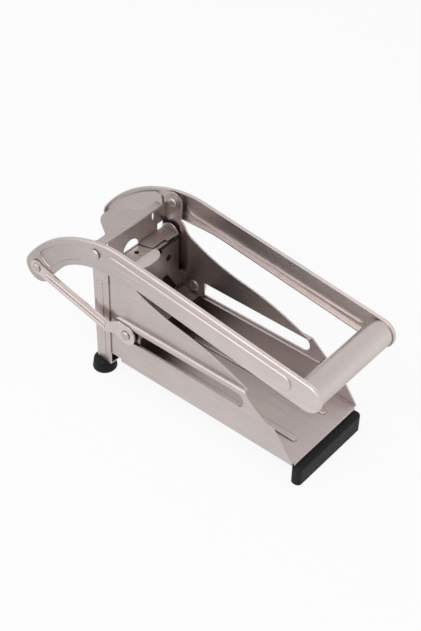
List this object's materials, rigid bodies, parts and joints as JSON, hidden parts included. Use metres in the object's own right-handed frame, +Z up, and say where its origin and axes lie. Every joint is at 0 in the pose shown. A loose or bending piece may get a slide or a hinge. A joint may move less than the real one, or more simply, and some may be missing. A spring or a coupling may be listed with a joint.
{
  "type": "french fry cutter",
  "caption": "Hand-lever french fry cutter: a slotted steel channel with a knife grid, and a pusher driven through it by links from a hooked two-arm lever.",
  "frame": {"origin": "on the bench surface under the middle of the part at rest, with the lever down and the pusher against the knife grid", "axes": "+X towards the handle end, +Y to the right hand of a user who stands at the handle end and faces -X, so -Y is left, +Z up from the bench"},
  "size_m": [0.2814, 0.0972, 0.1302],
  "materials": {
    "base_sheet": "satin stainless sheet with a fine grain",
    "lever_sheet": "satin stainless pressings with bright edges",
    "handle_tube": "satin turned tube",
    "link_sheet": "satin stainless pressing",
    "rivet_steel": "smooth bright rivet heads",
    "knife_steel": "bright thin blades",
    "black_plastic": "near-black moulded plastic",
    "black_rubber": "near-black matte rubber"
  },
  "bodies": {
    "base": {"base_channel": "base_sheet", "front_frame": "base_sheet", "blade_tray": "base_sheet", "lift_tab": "base_sheet", "upright_blades": "knife_steel", "level_blades": "knife_steel", "front_foot_left": "black_rubber", "front_foot_right": "black_rubber", "foot_screws": "rivet_steel", "rear_foot_strip": "black_rubber", "pivot_rivet_left": "rivet_steel", "pivot_rivet_right": "rivet_steel", "pivot_washers": "rivet_steel"},
    "lever": {"lever_arm_left": "lever_sheet", "lever_arm_right": "lever_sheet", "handle_tube": "handle_tube", "link_pin_left": "rivet_steel", "link_pin_right": "rivet_steel"},
    "pusher": {"pusher_carrier": "base_sheet", "pusher_block": "black_plastic", "block_screws": "rivet_steel", "glide_bar": "black_plastic", "slot_bush_left": "black_plastic", "slot_bush_right": "black_plastic", "link_bottom_rivet_left": "rivet_steel", "link_bottom_rivet_right": "rivet_steel"},
    "left_link": {"link_left": "link_sheet", "link_cap_left": "rivet_steel"},
    "right_link": {"link_right": "link_sheet", "link_cap_right": "rivet_steel"}
  },
  "joints": [
    {"name": "lever_swing", "type": "hinge", "parent": "base", "child": "lever", "pos_m": [-0.0624, 0, 0.1192], "axis": [0, -1, 0], "range_deg": [0, 84]},
    {"name": "pusher_slide", "type": "slide", "parent": "base", "child": "pusher", "axis": [1, 0, 0], "range_m": [0, 0.10528]},
    {"name": "left_link_pivot", "type": "hinge", "parent": "pusher", "child": "left_link", "pos_m": [-0.0388, -0.0412, 0.0518], "axis": [0, -1, 0], "range_deg": [0, 14.98]},
    {"name": "right_link_pivot", "type": "hinge", "parent": "pusher", "child": "right_link", "pos_m": [-0.0388, 0.0412, 0.0518], "axis": [0, -1, 0], "range_deg": [0, 14.98]}
  ],
  "couplings": [
    {"joint": "pusher_slide", "follows": "lever_swing", "m_per_rad": 0.071812},
    {"joint": "left_link_pivot", "follows": "lever_swing", "ratio": 0.17831},
    {"joint": "right_link_pivot", "follows": "lever_swing", "ratio": 0.17831}
  ]
}
